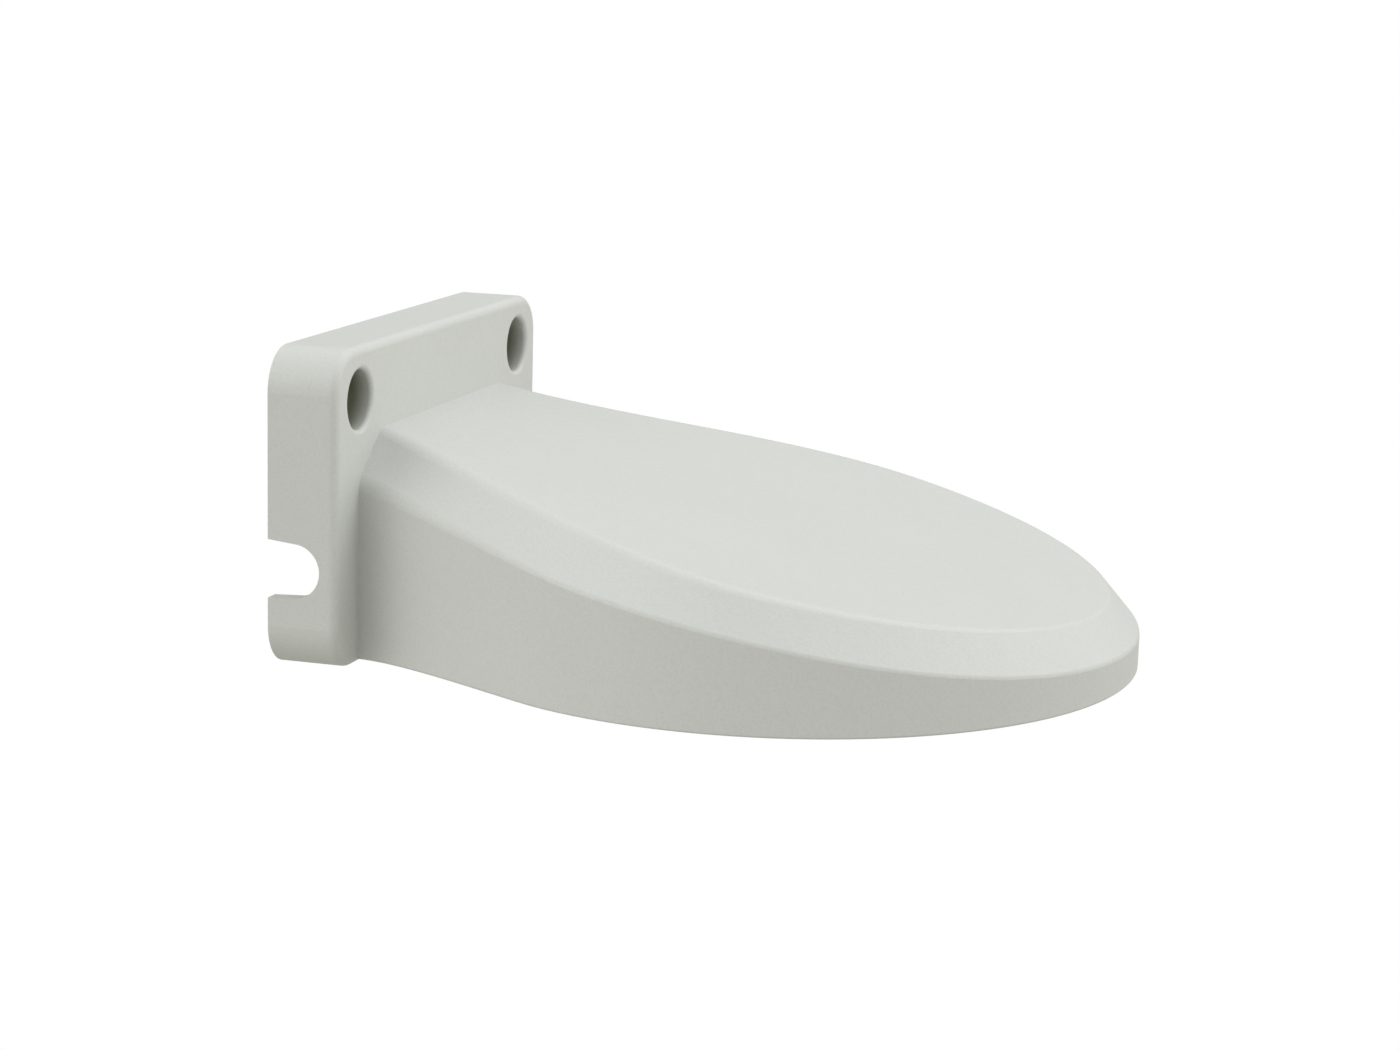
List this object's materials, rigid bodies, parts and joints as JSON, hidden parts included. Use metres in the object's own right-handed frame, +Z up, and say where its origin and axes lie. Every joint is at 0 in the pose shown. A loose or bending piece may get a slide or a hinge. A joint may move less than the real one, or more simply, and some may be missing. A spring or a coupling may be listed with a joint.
{
  "type": "dome camera wall bracket",
  "caption": "Wall bracket for a dome camera: a hollow flange with two screw wells and a cable notch, and a wedge arm widening to a round head with a camera plate below.",
  "frame": {"origin": "midpoint between the two wall screws, on the wall plane (the rear face of the flange)", "axes": "+X out from the wall, towards the nose of the head; +Y across, away from the side with the cable notch; +Z up"},
  "size_m": [0.1357, 0.122, 0.053],
  "materials": {
    "painted_casting": "off-white fine-textured powder coat, semi-matt",
    "painted_steel_plate": "off-white powder coat on pressed steel sheet, semi-matt",
    "zinc_plated_steel": "bright zinc plate",
    "black_rubber": "matt moulded rubber"
  },
  "bodies": {
    "root": {"bracket_body": "painted_casting", "camera_plate": "painted_steel_plate", "camera_plate_screws": "zinc_plated_steel", "camera_clinch_nuts": "zinc_plated_steel", "cable_grommet": "black_rubber"}
  },
  "joints": []
}
